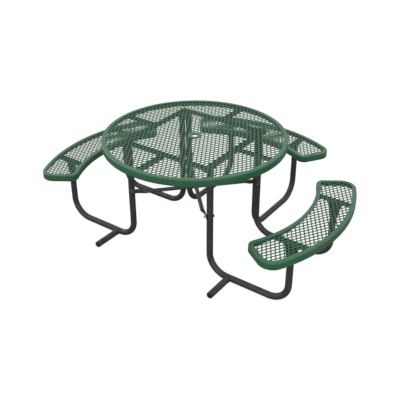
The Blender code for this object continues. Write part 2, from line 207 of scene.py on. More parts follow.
def modify(piece, kind, **settings):
    """Add a modifier with its settings and apply it."""
    bpy.ops.object.select_all(action="DESELECT")
    bpy.context.view_layer.objects.active = piece
    piece.select_set(True)
    modifier = piece.modifiers.new(kind.title(), kind)
    for key, value in settings.items():
        setattr(modifier, key, value)
    bpy.ops.object.modifier_apply(modifier=modifier.name)


def loft(name, stations, segments, along="Z"):
    """Draw a ring out from station to station: (centre, half width, half height)."""
    tilt = (0, math.pi / 2, 0) if along == "X" else (0, 0, 0)
    centre, wide, high = stations[0]
    piece = start(
        name, bpy.ops.mesh.primitive_circle_add, vertices=segments, radius=1, location=centre, rotation=tilt
    )
    scale = (1, wide, high) if along == "X" else (wide, high, 1)
    bpy.ops.transform.resize(value=scale, center_override=centre)
    for (before, wide_0, high_0), (after, wide_1, high_1) in zip(stations, stations[1:]):
        draw_out(*(Vector(after) - Vector(before)))
        ratio = (wide_1 / wide_0, high_1 / high_0)
        scale = (1, *ratio) if along == "X" else (*ratio, 1)
        bpy.ops.transform.resize(value=scale, center_override=after)
    return piece


def turned(name, rings, segments, closed=False):
    """A piece turned about its own upright axis from (radius, height) rings, not smoothed yet."""
    if closed:
        rings = rings + rings[:1]
    piece = loft(name, [((0, 0, z), r, r) for r, z in rings], segments)
    weld_seams()
    close()
    return piece


def join(name, parts):
    """Make one piece of several."""
    bpy.ops.object.select_all(action="DESELECT")
    for part in parts:
        part.select_set(True)
    bpy.context.view_layer.objects.active = parts[0]
    bpy.ops.object.join()
    piece = bpy.context.object
    piece.name = name
    piece.data.name = name
    return piece


def copy_of(piece, name):
    """A second piece with a mesh of its own."""
    twin = piece.copy()
    twin.data = piece.data.copy()
    twin.name = name
    twin.data.name = name
    bpy.context.scene.collection.objects.link(twin)
    return twin


def move(piece, matrix):
    """Move a piece's mesh, and turn its faces out again after a mirror."""
    piece.data.transform(matrix)
    if matrix.determinant() < 0:
        piece.data.flip_normals()
    return piece


def turn_about_table(degrees, mirrored=False):
    """Place from the right bench's front side to another bench or side."""
    flip = Matrix.Diagonal((1, -1, 1, 1)) if mirrored else Matrix.Identity(4)
    return Matrix.Rotation(math.radians(degrees), 4, "Z") @ flip


def upright_to(point, direction):
    """Place from the upright axis at the origin to a point and direction."""
    return Matrix.Translation(point) @ Vector(direction).to_track_quat("Z", "Y").to_matrix().to_4x4()


def hand_over(piece, material, slot, *nodes):
    """Put a finished piece in the table, in place of its CAD nodes."""
    move(piece, Matrix.Translation(AXIS))
    piece.data.materials.clear()
    piece.data.materials.append(material)
    if nodes:
        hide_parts(*nodes)
    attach(piece, "root")
    return piece


def cad_place(node):
    """A CAD node's corners about the table's axis."""
    low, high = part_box(node)
    return low - AXIS, high - AXIS


# ---- finishes ----------------------------------------------------------------------------------

def linear(code):
    """An sRGB hex colour as linear RGBA."""
    parts = [int(code[i:i + 2], 16) / 255 for i in (1, 3, 5)]
    return (*[c / 12.92 if c <= 0.04045 else ((c + 0.055) / 1.055) ** 2.4 for c in parts], 1)


def node(tree, kind, settings, links):
    """Add one node: settings on its sockets or itself, links as (node, output) by input."""
    made = tree.nodes.new("ShaderNode" + kind)
    for key, value in settings.items():
        if key in made.inputs:
            made.inputs[key].default_value = value
        else:
            setattr(made, key, value)
    for key, (source, output) in links.items():
        tree.links.new(source.outputs[output], made.inputs[key])
    return made


def new_finish(name, **shader):
    """A new material with its shader's constant values, and the object's own coordinates."""
    material = bpy.data.materials.new(name)
    material.use_nodes = True
    tree = material.node_tree
    principled = tree.nodes["Principled BSDF"]
    for key, value in shader.items():
        principled.inputs[key.replace("_", " ")].default_value = value
    place = node(tree, "TexCoord", {}, {})
    return material, tree, principled, place


def tint(tree, factor, low, high, dark, light):
    """A colour between two hex colours where a factor runs from low to high."""
    ramp = node(tree, "ValToRGB", {}, {"Fac": factor})
    first, last = ramp.color_ramp.elements
    first.position, last.position = low, high
    first.color, last.color = linear(dark), linear(light)
    return ramp


def spread(tree, factor, low, high):
    """A factor from 0 to 1 run from low to high."""
    return node(tree, "MapRange", {"To Min": low, "To Max": high}, {"Value": factor})


def dip_coat(name, dark, light):
    """Plastisol: steel dipped in hot liquid PVC. Soft edges, a low gloss and a faint orange peel."""
    material, tree, shader, place = new_finish(name, IOR=1.53)
    here = (place, "Object")
    # The colour clouds over about 120 mm, where the dip ran thicker, and has a fine 3 mm speck.
    cloud = node(tree, "TexNoise", {"Scale": 8.0, "Detail": 3.0}, {"Vector": here})
    speck = node(tree, "TexNoise", {"Scale": 330.0, "Detail": 2.0}, {"Vector": here})
    body = tint(tree, (cloud, "Fac"), 0.35, 0.65, dark, light)
    dust = tint(tree, (speck, "Fac"), 0.40, 0.75, "#265C3D", "#34704C")
    mixed = node(
        tree, "Mix", {"data_type": "RGBA", "Factor": 0.25}, {"A": (body, "Color"), "B": (dust, "Color")}
    )
    tree.links.new(mixed.outputs["Result"], shader.inputs["Base Color"])
    gloss = spread(tree, (cloud, "Fac"), 0.26, 0.40)
    tree.links.new(gloss.outputs["Result"], shader.inputs["Roughness"])
    # Orange peel of 5 mm under the speck.
    peel = node(tree, "TexNoise", {"Scale": 200.0, "Detail": 1.0}, {"Vector": here})
    wave = node(tree, "Bump", {"Strength": 0.12, "Distance": 0.0006}, {"Height": (peel, "Fac")})
    tree.links.new(wave.outputs["Normal"], shader.inputs["Normal"])
    return material


def powder_coat(name, dark, light):
    """Black polyester powder coat: an even satin with a fine sandy texture."""
    material, tree, shader, place = new_finish(name, IOR=1.5)
    here = (place, "Object")
    # The grain is about 0.4 mm on the real tube, and is drawn at 1.5 mm so that it shows.
    grain = node(tree, "TexNoise", {"Scale": 650.0, "Detail": 2.0}, {"Vector": here})
    rub = node(tree, "TexNoise", {"Scale": 22.0, "Detail": 4.0}, {"Vector": here})
    body = tint(tree, (rub, "Fac"), 0.35, 0.70, dark, light)
    tree.links.new(body.outputs["Color"], shader.inputs["Base Color"])
    satin = spread(tree, (rub, "Fac"), 0.36, 0.52)
    tree.links.new(satin.outputs["Result"], shader.inputs["Roughness"])
    sand = node(tree, "Bump", {"Strength": 0.25, "Distance": 0.0003}, {"Height": (grain, "Fac")})
    tree.links.new(sand.outputs["Normal"], shader.inputs["Normal"])
    return material


def zinc_plate(name, dark, light):
    """Zinc plated steel: a metal under a cloudy passivated film."""
    material, tree, shader, place = new_finish(name, Metallic=1.0)
    here = (place, "Object")
    cloud = node(tree, "TexNoise", {"Scale": 260.0, "Detail": 4.0}, {"Vector": here})
    film = tint(tree, (cloud, "Fac"), 0.30, 0.75, dark, light)
    tree.links.new(film.outputs["Color"], shader.inputs["Base Color"])
    dull = spread(tree, (cloud, "Fac"), 0.28, 0.50)
    tree.links.new(dull.outputs["Result"], shader.inputs["Roughness"])
    return material


def moulded_plug():
    """Black polyethylene, injection moulded: matt, with a faint spark-eroded grain."""
    material, tree, shader, place = new_finish("polyethylene_black", IOR=1.51, Roughness=0.55)
    here = (place, "Object")
    grain = node(tree, "TexNoise", {"Scale": 900.0, "Detail": 1.0}, {"Vector": here})
    body = tint(tree, (grain, "Fac"), 0.30, 0.70, "#121213", "#1D1D1E")
    tree.links.new(body.outputs["Color"], shader.inputs["Base Color"])
    bump = node(tree, "Bump", {"Strength": 0.3, "Distance": 0.0002}, {"Height": (grain, "Fac")})
    tree.links.new(bump.outputs["Normal"], shader.inputs["Normal"])
    return material


# ---- rolled edges ------------------------------------------------------------------------------

def edge_section(name, outer, top):
    """The edge angle's section, upright at an outer radius: a lip, a rolled corner and a wall."""
    section = start(
        name, bpy.ops.mesh.primitive_plane_add, size=1,
        location=(outer - LIP / 2, 0, top - WALL / 2), rotation=(math.pi / 2, 0, 0),
    )
    bpy.ops.transform.resize(value=(LIP, 1, WALL), center_override=(outer - LIP / 2, 0, top - WALL / 2))
    bpy.ops.mesh.bisect(plane_co=(outer - WALL, 0, 0), plane_no=(1, 0, 0))
    bpy.ops.mesh.select_mode(type="EDGE")
    pick(section, "edges", lambda p: p.x > outer - WALL + NEAR and abs(p.z - top + WALL) < SAME)
    draw_out(0, 0, WALL - RIM_HEIGHT)
    bpy.ops.mesh.select_all(action="SELECT")
    bpy.ops.mesh.dissolve_limited(angle_limit=0.01)
    bpy.ops.mesh.select_mode(type="VERT")
    # Each corner's radius and steps
    corners = {
        (outer, top): (RIM_EDGE_R, 6),
        (outer - WALL, top - WALL): (RIM_EDGE_R - WALL, 3),
        (outer - LIP, top): (COAT_EDGE_R, 2),
        (outer - LIP, top - WALL): (COAT_EDGE_R, 2),
        (outer, top - RIM_HEIGHT): (COAT_EDGE_R, 2),
        (outer - WALL, top - RIM_HEIGHT): (COAT_EDGE_R, 2),
    }
    for (x, z), (radius, steps) in corners.items():
        pick(section, "verts", lambda p: abs(p.x - x) + abs(p.z - z) < NEAR)
        bpy.ops.mesh.bevel(offset=radius, offset_type="OFFSET", segments=steps, affect="VERTICES")
    bpy.ops.mesh.select_all(action="SELECT")
    bpy.ops.mesh.delete(type="ONLY_FACE")
    bpy.ops.mesh.select_all(action="SELECT")
    return section


def finish_edge(edge):
    """Close a bent edge angle where its two ends meet."""
    bpy.ops.mesh.select_all(action="SELECT")
    bpy.ops.mesh.remove_doubles(threshold=NEAR)
    bpy.ops.mesh.normals_make_consistent(inside=False)
    return smooth(edge, 40)


def table_edge():
    """The table's edge angle, bent into a full ring."""
    edge = edge_section("table_edge_angle", TOP_R, TOP_Z)
    bend((0, 0, 0), (0, 0, 1), 360, 192)
    return finish_edge(edge)


def bench_edge():
    """The bench's edge angle, bent round its outline from the middle of its outer side."""
    edge = edge_section("bench_edge_angle", SEAT_OUT_R, SEAT_Z)
    middle, up = (0, 0, 0), (0, 0, 1)
    outer_turn = math.degrees(OUT_ANGLE)
    inner_turn = math.degrees(IN_ANGLE)
    out_corner_turn = math.degrees(SEAT_HALF_ANGLE + math.pi / 2 - OUT_ANGLE)
    in_corner_turn = math.degrees(IN_ANGLE + math.pi / 2 - SEAT_HALF_ANGLE)
    for side in (1, -1):
        out_corner, in_corner, inward = (
            Vector((radius * math.cos(angle), side * radius * math.sin(angle), 0))
            for radius, angle in ((OUT_CENTRE_R, OUT_ANGLE), (IN_CENTRE_R, IN_ANGLE), (1, SEAT_HALF_ANGLE))
        )
        end_length = (out_corner - in_corner).dot(inward)
        if side == 1:
            bend(middle, up, outer_turn, 24)
            bend(out_corner, up, out_corner_turn, 12)
            draw_out(*(-inward * end_length))
            bend(in_corner, up, in_corner_turn, 9)
            bend(middle, up, -2 * inner_turn, 40)
        else:
            bend(in_corner, up, in_corner_turn, 9)
            draw_out(*(inward * end_length))
            bend(out_corner, up, out_corner_turn, 12)
            bend(middle, up, outer_turn, 24)
    return finish_edge(edge)


# ---- expanded steel ----------------------------------------------------------------------------

def arc(centre, radius, first, last, steps):
    """Points round an arc from a first to a last angle."""
    turns = [first + (last - first) * i / steps for i in range(steps + 1)]
    return [(centre[0] + radius * math.cos(t), centre[1] + radius * math.sin(t)) for t in turns]


def bench_outline(inset):
    """Points round the bench's outline, drawn in from its outer face."""
    square = SEAT_HALF_ANGLE + math.pi / 2
    out_corner = (OUT_CENTRE_R * math.cos(OUT_ANGLE), OUT_CENTRE_R * math.sin(OUT_ANGLE))
    in_corner = (IN_CENTRE_R * math.cos(IN_ANGLE), IN_CENTRE_R * math.sin(IN_ANGLE))
    half = arc((0, 0), SEAT_OUT_R - inset, 0, OUT_ANGLE, 40)
    half += arc(out_corner, SEAT_OUT_CORNER - inset, OUT_ANGLE, square, 12)[1:]
    half += arc(in_corner, SEAT_IN_CORNER - inset, square, IN_ANGLE + math.pi, 8)
    half += arc((0, 0), SEAT_IN_R + inset, IN_ANGLE, 0, 40)[1:]
    return half + [(x, -y) for x, y in reversed(half[1:-1])]


def turned_outline(outline, degrees):
    """An outline turned about the table's axis."""
    c, s = math.cos(math.radians(degrees)), math.sin(math.radians(degrees))
    return [(c * x - s * y, s * x + c * y) for x, y in outline]


def outside_and_nearest(points, outline):
    """Which points lie outside the outline, and each point's nearest place on it."""
    a = np.array(outline)
    b = np.roll(a, -1, axis=0)
    side = b - a
    x, y = points[:, None, 0], points[:, None, 1]
    crosses = (a[:, 1] > y) != (b[:, 1] > y)
    rise = np.where(side[:, 1] == 0, 1, side[:, 1])
    at = a[:, 0] + (y - a[:, 1]) * side[:, 0] / rise
    inside = (crosses & (x < at)).sum(axis=1) % 2 == 1
    along = ((x - a[:, 0]) * side[:, 0] + (y - a[:, 1]) * side[:, 1]) / (side ** 2).sum(axis=1)
    foot = a + np.clip(along, 0, 1)[..., None] * side
    best = ((foot - points[:, None, :]) ** 2).sum(axis=2).argmin(axis=1)
    return ~inside, foot[np.arange(len(points)), best]


def expanded_sheet(name, outline, top):
    """Expanded steel cut to an outline: one diamond's four half strands, repeated and trimmed."""
    half_thick = SHEET_THICK / 2
    xs, ys = zip(*outline)
    low = (min(xs), min(ys))
    columns = math.ceil((max(xs) - low[0]) / DIAMOND_SHORT) + 2
    rows = math.ceil((max(ys) - low[1]) / DIAMOND_LONG) + 2
    first = (
        math.floor(low[0] / DIAMOND_SHORT) * DIAMOND_SHORT,
        math.floor(low[1] / DIAMOND_LONG) * DIAMOND_LONG,
    )
    middle = (*first, top)
    sheet = start(
        name, bpy.ops.mesh.primitive_circle_add, vertices=4, radius=1, fill_type="NGON", location=middle
    )
    bpy.ops.transform.resize(value=(DIAMOND_SHORT / 2, DIAMOND_LONG / 2, 1), center_override=middle)
    # The coat rounds the strand: a narrow flat on top, a soft shoulder and a side.
    bpy.ops.mesh.inset(thickness=STRAND * STRAND_FLAT)
    bpy.ops.mesh.inset(thickness=STRAND * STRAND_SHOULDER, depth=-half_thick * SHOULDER_DROP)
    bpy.ops.mesh.select_mode(type="VERT")
    bpy.ops.mesh.bevel(offset=STRAND * STRAND_KNUCKLE, offset_type="OFFSET", segments=1, affect="VERTICES")
    bpy.ops.mesh.select_mode(type="FACE")
    pick(sheet, "faces", lambda p: (p - Vector(middle)).xy.length < 1e-4)
    draw_out(0, 0, -half_thick * (1 - SHOULDER_DROP))
    bpy.ops.mesh.delete(type="FACE")
    close()
    move(sheet, Matrix.Translation((0, 0, half_thick - top)))
    modify(sheet, "MIRROR", use_axis=(False, False, True), merge_threshold=NEAR)
    move(sheet, Matrix.Translation((0, 0, top - half_thick)))
    step = {
        "use_relative_offset": False, "use_constant_offset": True, "use_merge_vertices": True,
        "merge_threshold": NEAR,
    }
    modify(sheet, "ARRAY", count=2, constant_offset_displace=(DIAMOND_SHORT / 2, DIAMOND_LONG / 2, 0), **step)
    modify(sheet, "ARRAY", count=columns, constant_offset_displace=(DIAMOND_SHORT, 0, 0), **step)
    modify(sheet, "ARRAY", count=rows, constant_offset_displace=(0, DIAMOND_LONG, 0), **step)
    trim(sheet, outline)
    return sheet


def trim(sheet, outline, hole=False):
    """Cut a sheet at its outline: clear what is outside, and draw the cut ends onto the line.

    A hole's outline clears what is inside it.
    """
    mesh = sheet.data
    points = np.empty(len(mesh.vertices) * 3)
    mesh.vertices.foreach_get("co", points)
    points = points.reshape(-1, 3)
    outside, nearest = outside_and_nearest(points[:, :2], outline)
    if hole:
        outside = ~outside
    open_piece(sheet, "FACE")
    form = bmesh.from_edit_mesh(mesh)
    for face in form.faces:
        face.select_set(all(outside[v.index] for v in face.verts))
    bmesh.update_edit_mesh(mesh)
    bpy.ops.mesh.delete(type="FACE")
    form = bmesh.from_edit_mesh(mesh)
    spots = {}
    for i in np.flatnonzero(outside):
        spots[tuple(np.round(points[i], 7))] = nearest[i]
    for vert in form.verts:
        spot = spots.get(tuple(np.round(np.array(vert.co), 7)))
        if spot is not None:
            vert.co.xy = spot
    bmesh.update_edit_mesh(mesh)
    bpy.ops.mesh.select_all(action="SELECT")
    bpy.ops.mesh.remove_doubles(threshold=2 * NEAR)
    bpy.ops.mesh.dissolve_degenerate(threshold=2 * NEAR)
    bpy.ops.mesh.delete_loose()
    smooth(sheet, 70)


# ---- flat steel, tube and welds ----------------------------------------------------------------

def eased_plate(name, middle, size, corner, ease):
    """A rectangular plate or bar with rounded corners and eased edges."""
    plate = start(name, bpy.ops.mesh.primitive_cube_add, size=1, location=middle)
    bpy.ops.transform.resize(value=size, center_override=middle)
    bpy.ops.mesh.select_mode(type="EDGE")
    pick(plate, "edges", lambda p: abs(p.z - middle.z) < SAME)
    bpy.ops.mesh.bevel(offset=corner, offset_type="OFFSET", segments=3)
    pick(plate, "edges", lambda p: abs(p.z - middle.z) > size[2] / 2 - SAME)
    bpy.ops.mesh.bevel(offset=ease, offset_type="OFFSET", segments=2)
    return smooth(plate, 40)


def flat_steel(name, cad_node, corner, ease):
    """A flat bar or plate at its CAD node's place."""
    low, high = cad_place(cad_node)
    return eased_plate(name, (low + high) / 2, high - low, corner, ease)


def ring_bead(name, centre, radius, seed, direction=(0, 0, 1)):
    """A weld bead round a tube, with the uneven ripples of a hand weld."""
    ripple = 0.22 * WELD
    bead = start(
        name, bpy.ops.mesh.primitive_torus_add, major_radius=radius, minor_radius=WELD,
        major_segments=48, minor_segments=8,
    )
    bpy.ops.transform.vertex_random(offset=ripple, seed=seed)
    smooth(bead, 80)
    return move(bead, upright_to(centre, direction))


def line_bead(name, first, last, seed):
    """A straight weld bead between two points: thin at both ends, with a ripple every few millimetres."""
    first, last = Vector(first), Vector(last)
    length = (last - first).length
    steps = max(6, round(length / RIPPLE_PITCH))
    end, low, high = WELD * 0.35, 0.92, 0.10
    rings = [(end, 0)]
    rings += [(WELD * (low + high * (i % 2)), length * (i + 0.5) / steps) for i in range(steps)]
    rings += [(end, length)]
    bead = turned(name, rings, 8)
    open_piece(bead)
    bpy.ops.mesh.select_all(action="SELECT")
    bpy.ops.transform.vertex_random(offset=WELD * 0.12, seed=seed)
    smooth(bead, 80)
    return move(bead, upright_to(first, last - first))


def welded_bar(name, cad_node):
    """A flat bar with a weld bead under each end."""
    low, high = cad_place(cad_node)
    along = 0 if high.x - low.x > high.y - low.y else 1
    bead_rise, bead_inset = 0.0004, 0.003
    parts = [flat_steel(name, cad_node, BAR_CORNER, BAR_EASE)]
    for number, end in enumerate((low[along], high[along])):
        first, last = low.copy(), high.copy()
        first[along] = last[along] = end
        first.z = last.z = low.z + bead_rise
        inset = (last - first).normalized() * bead_inset
        parts.append(line_bead("weld", first + inset, last - inset, seed=11 + number))
    return join(name, parts)


def bench_plate():
    """The plate on a leg's end under the right bench's front bar, with its two sloped webs."""
    low, high = cad_place("seat_plate_right_front")
    y = -LEG_SIDE
    plate_low = high.z - PLATE_THICK
    middle = Vector((LEG_SEAT, y, high.z - PLATE_THICK / 2))
    size = (high.x - low.x, high.y - low.y, PLATE_THICK)
    parts = [eased_plate("bench_plate", middle, size, PLATE_CORNER, PLATE_EASE)]
    into_tube, inset = 0.0005, 0.002
    for side in (1, -1):
        near = LEG_SEAT + side * (TUBE_R - into_tube)
        far = LEG_SEAT + side * ((high.x - low.x) / 2 - inset)
        drop = plate_low - low.z
        centre = Vector(((near + far) / 2, y, plate_low - drop / 2))
        web = start("bench_plate_web", bpy.ops.mesh.primitive_cube_add, size=1, location=centre)
        bpy.ops.transform.resize(value=(abs(far - near), WEB_THICK, drop), center_override=centre)
        bpy.ops.mesh.bisect(plane_co=(0, 0, plate_low - WEB_EDGE), plane_no=(0, 0, 1))
        bpy.ops.mesh.select_mode(type="VERT")
        pick(web, "verts", lambda p: p.z < low.z + NEAR and abs(p.x - far) < NEAR)
        bpy.ops.transform.translate(value=(near + side * WEB_FOOT - far, 0, 0))
        bpy.ops.mesh.select_mode(type="EDGE")
        pick(web, "edges", lambda p: abs(abs(p.y - y) - WEB_THICK / 2) < SAME)
        bpy.ops.mesh.bevel(offset=WEB_EASE, offset_type="OFFSET", segments=2)
        parts.append(smooth(web, 40))
        # Fillet welds: down the tube's side, and along under the plate
        for lean in (-1, 1):
            at = y + lean * WEB_THICK / 2
            beside = near + side * 0.001
            down = [(beside, at, plate_low - 0.004), (beside, at, low.z + 0.004)]
            across = [(near + side * 0.004, at, plate_low), (far - side * 0.002, at, plate_low)]
            parts.append(line_bead("weld", *down, seed=21 + lean))
            parts.append(line_bead("weld", *across, seed=24 + lean))
    return join("bench_plate", parts)


def bent_leg():
    """A leg at the right bench's front side: down from the table, along the floor, up to the bench."""
    top = cad_place("leg_right_front")[1].z
    seat_top = cad_place("seat_plate_right_front")[1].z - PLATE_THICK - WELD_GAP
    bend_z = TUBE_R + BEND_R
    y = -LEG_SIDE
    leg = start(
        "leg", bpy.ops.mesh.primitive_circle_add, vertices=32, radius=TUBE_R, location=(LEG_TABLE, y, top)
    )
    draw_out(0, 0, bend_z - top)
    bend((LEG_TABLE + BEND_R, y, bend_z), (0, 1, 0), -90, 18)
    draw_out(LEG_SEAT - LEG_TABLE - 2 * BEND_R, 0, 0)
    bend((LEG_SEAT - BEND_R, y, bend_z), (0, 1, 0), -90, 18)
    draw_out(0, 0, seat_top - bend_z)
    weld_seams()
    smooth(leg, 50)
    bead_drop = 0.0012
    table_bead = ring_bead("leg_weld_table", (LEG_TABLE, y, top - bead_drop), TUBE_R, seed=3)
    seat_bead = ring_bead("leg_weld_seat", (LEG_SEAT, y, seat_top - bead_drop), TUBE_R, seed=4)
    return join("leg", [leg, table_bead, seat_bead])


def stub_foot():
    """The short tube that stands out in front of a front leg, with its weld."""
    low, high = cad_place("foot_right")
    x = (low.x + high.x) / 2
    centre = (x, high.y, TUBE_R)
    foot = start(
        "foot", bpy.ops.mesh.primitive_circle_add, vertices=32, radius=TUBE_R, location=centre,
        rotation=(math.pi / 2, 0, 0),
    )
    draw_out(0, low.y - high.y, 0)
    weld_seams()
    smooth(foot, 50)
    bead_back, bead_out, floor_gap = 0.0015, 0.0002, 0.0004
    place = (x, high.y - bead_back, TUBE_R)
    bead = ring_bead("foot_weld", place, TUBE_R + bead_out, seed=6, direction=(0, 1, 0))
    open_piece(bead)
    # The bead follows four fifths of the leg's round side, and stops short of the floor.
    form = bmesh.from_edit_mesh(bead.data)
    for vert in form.verts:
        rise = min(abs(vert.co.z - TUBE_R), TUBE_R)
        vert.co.y += TUBE_R - math.sqrt(TUBE_R ** 2 - (0.8 * rise) ** 2)
        vert.co.z = max(vert.co.z, floor_gap)
    bmesh.update_edit_mesh(bead.data)
    smooth(bead, 80)
    return join("foot", [foot, bead])


def end_plug():
    """A plastic plug in the foot's end: a domed cap over the tube's wall."""
    low, high = cad_place("foot_plug_right")
    cap_r = TUBE_R - 0.0008
    depth = high.y - low.y
    # The dome, as how far in from the cap's side at which part of its depth
    dome = ((0, 0), (0, 0.45), (0.0007, 0.72), (0.0030, 0.90), (0.0080, 0.97))
    rings = [(cap_r - inward, depth * part) for inward, part in dome] + [(0.004, depth)]
    plug = smooth(turned("foot_plug", rings, 32), 50)
    return move(plug, upright_to(((low.x + high.x) / 2, high.y, TUBE_R), (0, -1, 0)))


def cross_brace(kind, turn):
    """A brace: a straight tube, pressed flat at both ends beside one face."""
    low, high = cad_place(f"brace_{kind}")
    z = (low.z + high.z) / 2
    flat_wide, flat_thick = BRACE_FLAT_WIDE, BRACE_FLAT_THICK
    lean = 1 if kind == "upper" else -1
    aside = -lean * (BRACE_R - flat_thick)
    tip = BRACE_BOLT + 0.022
    neck = BRACE_BOLT - 0.048
    tube_at = neck - 0.034
    # From the rounded tip, past the flat and the neck, to the full tube: along, aside, half width and half
    # thickness
    half = [
        (tip, 0, flat_wide * 0.30, flat_thick * 0.7),
        (tip - 0.0012, 0, flat_wide * 0.55, flat_thick),
        (tip - 0.004, 0, flat_wide * 0.86, flat_thick),
        (tip - 0.009, 0, flat_wide, flat_thick),
        (neck + 0.006, 0, flat_wide, flat_thick),
        (neck, aside * 0.04, flat_wide * 0.99, flat_thick * 1.25),
        (neck - 0.008, aside * 0.26, 0.0158, 0.0052),
        (neck - 0.017, aside * 0.58, 0.0147, 0.0086),
        (neck - 0.026, aside * 0.88, 0.0134, 0.0115),
        (tube_at, aside, BRACE_R, BRACE_R),
    ]
    stations = [((x, s, z), thick, wide) for x, s, wide, thick in half]
    stations += [((-x, -s, z), thick, wide) for x, s, wide, thick in reversed(half)]
    brace = loft(f"brace_{kind}", stations, 32, along="X")
    weld_seams()
    smooth(brace, 50)
    return move(brace, Matrix.Rotation(turn, 4, "Z"))


# ---- bolts -------------------------------------------------------------------------------------

def hexagon(piece, across, beyond):
    """Press the rings beyond a radius into a hexagon, and leave the chamfered ones round."""
    open_piece(piece)
    form = bmesh.from_edit_mesh(piece.data)
    sixth = math.pi / 3
    for vert in form.verts:
        radius = vert.co.xy.length
        if radius < beyond:
            continue
        turn = math.atan2(vert.co.y, vert.co.x) % sixth - sixth / 2
        flat_at = across / 2 / math.cos(turn)
        if radius > flat_at:
            vert.co.xy *= flat_at / radius
    bmesh.update_edit_mesh(piece.data)
    return smooth(piece, 30)


def hex_bolt(name, length, thread):
    """A hexagon bolt, head down at z = 0 and shank up, threaded at its end."""
    corner_r = ACROSS_FLATS / math.sqrt(3)
    face_r = ACROSS_FLATS / 2 - 0.0002
    chamfer, middle_r, ring = 0.0011, 0.0008, 0.0004
    head = turned(
        "bolt_head",
        [(middle_r, -HEAD_HEIGHT), (face_r, -HEAD_HEIGHT), (corner_r, chamfer - HEAD_HEIGHT),
         (corner_r, -ring), (ACROSS_FLATS / 2, 0), (middle_r, 0)],
        24,
    )
    hexagon(head, ACROSS_FLATS, ACROSS_FLATS / 2)
    # The thread's root and crests, and the bolt's chamfered point
    root_r, point_r, crest_at = BOLT_R * 0.88, BOLT_R * 0.80, 0.4
    rings = [(BOLT_R, -0.0005), (BOLT_R, length - thread)]
    turns = round(thread / THREAD_PITCH)
    for i in range(turns):
        at = length - thread + (i + 0.5) * thread / turns
        rings += [(root_r, at), (BOLT_R, at + crest_at * thread / turns)]
    rings += [(point_r, length)]
    return join(name, [head, smooth(turned("bolt_shank", rings, 16), 30)])


def plate_bolt():
    """A bolt up through a plate and the bar on it."""
    return hex_bolt("plate_bolt", PLATE_THICK + BOLT_TAIL, THREAD_SPARE)


def nutted_bolt(name, grip):
    """A bolt long enough for its grip and a nut."""
    return hex_bolt(name, grip + NUT_HEIGHT + BOLT_TAIL, NUT_HEIGHT + THREAD_SPARE)


def hex_nut():
    """A hexagon nut standing on z = 0, chamfered on both faces."""
    corner_r = ACROSS_FLATS / math.sqrt(3)
    face_r = ACROSS_FLATS / 2 - 0.0002
    mouth_r, mouth, chamfer = BOLT_R + 0.0006, 0.0005, 0.0009
    nut = turned(
        "nut",
        [(BOLT_R, mouth), (mouth_r, 0), (face_r, 0), (corner_r, chamfer),
         (corner_r, NUT_HEIGHT - chamfer), (face_r, NUT_HEIGHT), (mouth_r, NUT_HEIGHT),
         (BOLT_R, NUT_HEIGHT - mouth)],
        24, closed=True,
    )
    return hexagon(nut, ACROSS_FLATS, ACROSS_FLATS / 2)


def umbrella_ring():
    """The ring round the umbrella hole: a flat flange with a rounded edge, on a short sleeve."""
    low, high = cad_place("umbrella_collar")
    top = high.z - 0.0002
    flange_low = cad_place("top_mesh")[1].z + WELD_GAP
    bore, sleeve, collar = RING_BORE_R, RING_SLEEVE_R, RING_COLLAR_R
    rings = [(bore, low.z + 0.0010), (bore, top - 0.002), (bore + 0.0006, top - 0.0006), (bore + 0.002, top)]
    rings += [(collar - 0.0022, top), (collar - 0.0007, top - 0.0006), (collar, top - 0.0018)]
    rings += [(collar, flange_low), (sleeve, flange_low - 0.0006), (sleeve, low.z + 0.001)]
    rings += [(sleeve - 0.001, low.z), (bore + 0.001, low.z)]
    return smooth(turned("umbrella_ring", rings, 64, closed=True), 30)


# ---- the table ---------------------------------------------------------------------------------

coat = dip_coat("plastisol_green", "#265A3A", "#2E6645")
# Painted shade: real strands are tilted and narrow and catch less light than the flat lip, so the level
# strands get a darker copy of the coat that paints that shade.
strand_coat_painted_shade = dip_coat("plastisol_green_strand_painted_shade", "#1F4E32", "#27593C")
# Painted shade: the bars and spokes under a mesh sit in the mesh's shade, and this darker copy of the coat
# paints that shade onto them.
bar_coat_painted_shade = dip_coat("plastisol_green_painted_shade", "#183D28", "#1F4A31")
leg_black = powder_coat("powder_coat_black", "#303031", "#3C3C3D")
zinc = zinc_plate("zinc_plated_steel", "#9C9F9E", "#CFD0CB")
black_zinc = zinc_plate("zinc_black_passivated_steel", "#3C3D3D", "#5A5B59")
plug_black = moulded_plug()

# Table top
hand_over(table_edge(), coat, "top_coating", "top_rim")
table_outline = arc((0, 0), TOP_R - SHEET_INSET, 0, 2 * math.pi, 240)[:-1]
table_sheet = expanded_sheet("table_expanded_steel", table_outline, cad_place("top_mesh")[1].z)
trim(table_sheet, arc((0, 0), HOLE_R, 0, 2 * math.pi, 48)[:-1], hole=True)
hand_over(table_sheet, strand_coat_painted_shade, "top_coating", "top_mesh")
hand_over(umbrella_ring(), coat, "top_coating", "umbrella_collar")
for side in ("right", "back", "left", "front"):
    bar = welded_bar(f"underframe_bar_{side}", f"frame_bar_{side}")
    hand_over(bar, bar_coat_painted_shade, "top_coating", f"frame_bar_{side}")
    spoke = welded_bar(f"underframe_spoke_{side}", f"frame_spoke_{side}")
    hand_over(spoke, bar_coat_painted_shade, "top_coating", f"frame_spoke_{side}")

# Benches
bench_rim = bench_edge()
for side, degrees in BENCHES.items():
    rim = copy_of(bench_rim, f"bench_{side}_edge_angle")
    move(rim, turn_about_table(degrees))
    hand_over(rim, coat, "seat_coating", f"seat_{side}_rim")
    outline = turned_outline(bench_outline(SHEET_INSET), degrees)
    top = cad_place(f"seat_{side}_mesh")[1].z
    sheet = expanded_sheet(f"bench_{side}_expanded_steel", outline, top)
    hand_over(sheet, strand_coat_painted_shade, "seat_coating", f"seat_{side}_mesh")
    for number in (1, 2):
        bar = welded_bar(f"bench_{side}_bar_{number}", f"seat_{side}_bar_{number}")
        hand_over(bar, bar_coat_painted_shade, "seat_coating", f"seat_{side}_bar_{number}")
bpy.data.objects.remove(bench_rim)

